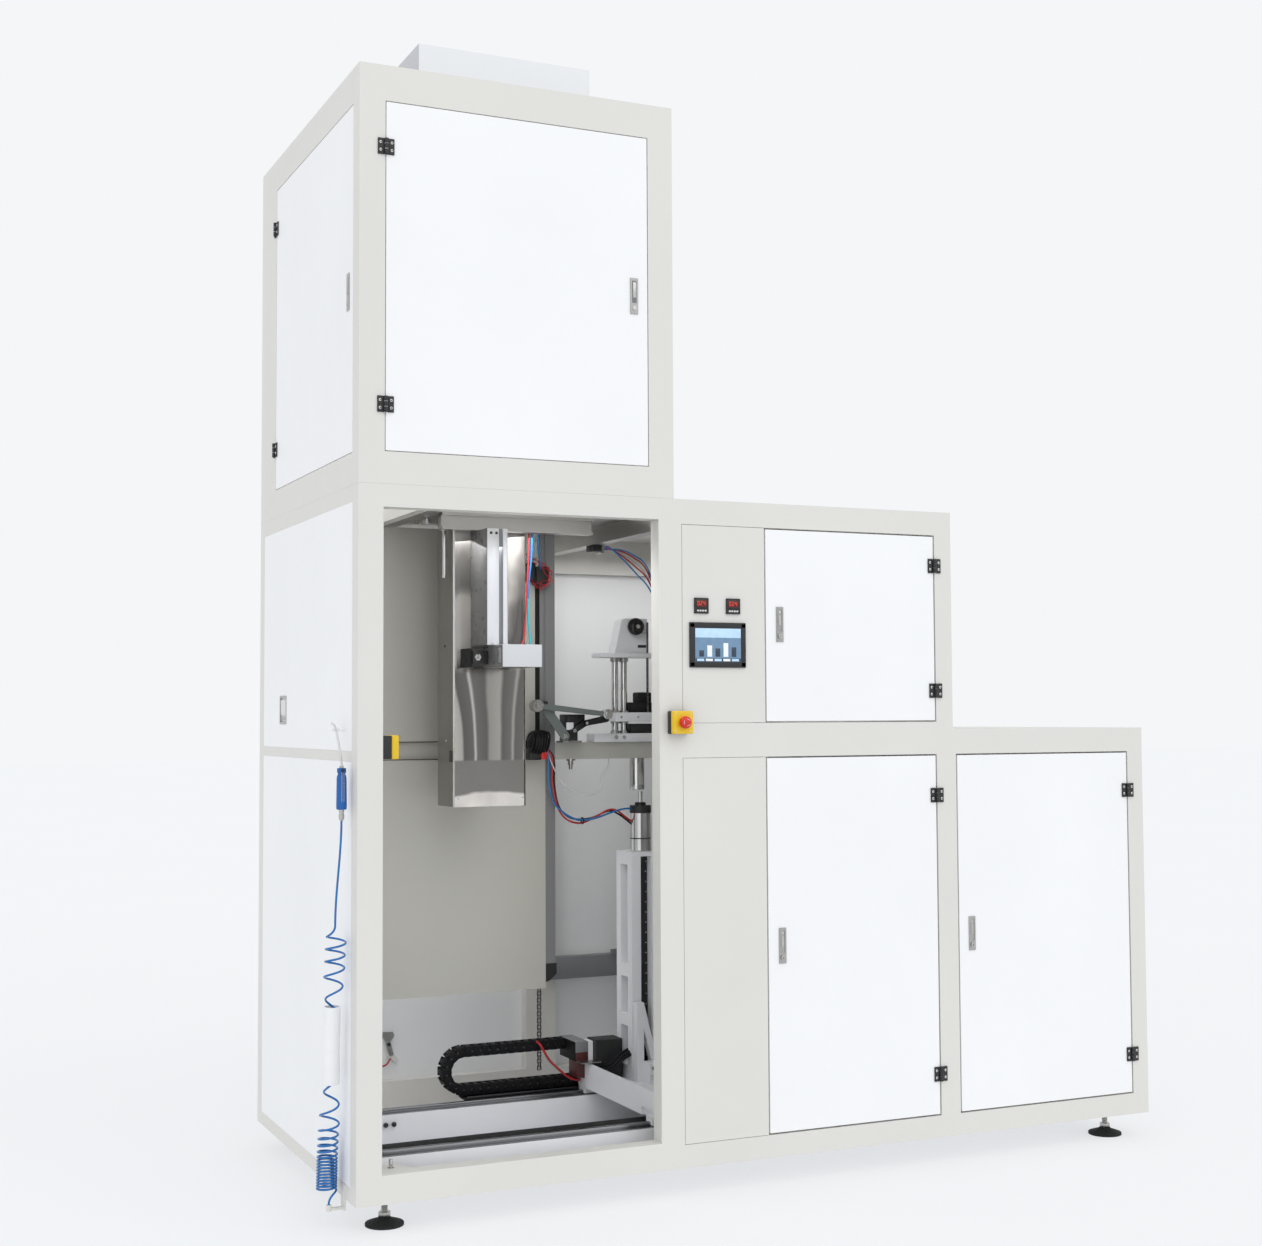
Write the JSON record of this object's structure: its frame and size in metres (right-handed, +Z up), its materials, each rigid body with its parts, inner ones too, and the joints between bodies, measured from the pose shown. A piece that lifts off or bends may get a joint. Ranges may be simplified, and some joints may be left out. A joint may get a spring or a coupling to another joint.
{
  "type": "six-side vacuum packing machine",
  "caption": "Stepped cabinet packing machine with a tower, open filling bay with spout and clamp, hinged service doors, rail carriage and levelling feet.",
  "frame": {"origin": "middle of the machine's footprint, on the floor under the feet", "axes": "+X to the right along the front, +Y back into the cabinet, +Z up"},
  "size_m": [2.969, 1.323, 3.635],
  "materials": {
    "beige_paint": "fine satin powder coat",
    "white_paint": "smooth satin powder coat",
    "grey_paint": "satin paint",
    "dark_paint": "satin paint",
    "black_plastic": "matt moulded plastic",
    "steel": "polished stainless sheet",
    "aluminium": "anodised extrusion",
    "yellow_plastic": "smooth moulded plastic",
    "red_plastic": "smooth moulded plastic",
    "blue_plastic": "glossy hose and moulded gun",
    "white_plastic": "soft film sleeve",
    "rubber": "moulded rubber pad"
  },
  "bodies": {
    "cabinet": {"front_frame": "beige_paint", "back_frame": "beige_paint", "left_frame": "beige_paint", "right_frame": "beige_paint", "step_wall": "beige_paint", "mid_roof": "beige_paint", "low_roof": "beige_paint", "control_panel": "beige_paint", "blank_panel": "beige_paint", "tower_frame": "beige_paint", "mid_beam": "beige_paint", "side_panel_upper": "white_paint", "side_panel_lower": "white_paint", "right_panel": "white_paint", "back_panel_left": "white_paint", "back_panel_mid": "white_paint", "back_panel_right": "white_paint", "floor_pan": "white_paint", "tower_front_door": "white_paint", "tower_side_door": "white_paint", "tower_right_panel": "white_paint", "tower_back_panel": "white_paint", "roof_duct": "white_paint", "front_rail": "white_paint", "back_rail": "white_paint", "bag_clamp": "white_paint", "inner_panel_upper": "grey_paint", "inner_panel_lower": "grey_paint", "gripper_arm": "grey_paint", "inner_post": "dark_paint", "touch_screen": "black_plastic", "controller_left": "black_plastic", "controller_right": "black_plastic", "energy_chain": "black_plastic", "ceiling_plate": "steel", "filling_spout": "steel", "clamp_slide": "aluminium", "head_unit": "aluminium", "estop_box": "yellow_plastic", "estop_button": "red_plastic", "air_gun": "blue_plastic", "air_nozzle": "steel", "air_hose": "blue_plastic", "hose_coil_upper": "blue_plastic", "hose_sleeve": "white_plastic", "hose_coil_lower": "blue_plastic", "foot_front_left": "rubber", "foot_front_right": "rubber", "foot_back_left": "rubber", "foot_back_right": "rubber"},
    "upper_door": {"upper_door": "white_paint", "upper_door_lock": "steel"},
    "lower_door": {"lower_door": "white_paint", "lower_door_lock": "steel"},
    "right_door": {"right_door": "white_paint", "right_door_lock": "steel"},
    "carriage": {"carriage_frame": "white_paint", "ladder_tower": "white_paint", "lift_cylinder": "steel", "motor_box": "black_plastic"}
  },
  "joints": [
    {"name": "upper_door_hinge", "type": "hinge", "parent": "cabinet", "child": "upper_door", "pos_m": [0.593, -0.5945, 1.7885], "axis": [0, 0, 1], "range_deg": [0, 110]},
    {"name": "lower_door_hinge", "type": "hinge", "parent": "cabinet", "child": "lower_door", "pos_m": [0.593, -0.5945, 0.76], "axis": [0, 0, 1], "range_deg": [0, 110]},
    {"name": "right_door_hinge", "type": "hinge", "parent": "cabinet", "child": "right_door", "pos_m": [1.403, -0.5945, 0.76], "axis": [0, 0, 1], "range_deg": [0, 110]},
    {"name": "carriage_slide", "type": "slide", "parent": "cabinet", "child": "carriage", "axis": [1, 0, 0], "range_m": [-0.2, 0.4], "deforming": ["energy_chain"]}
  ]
}
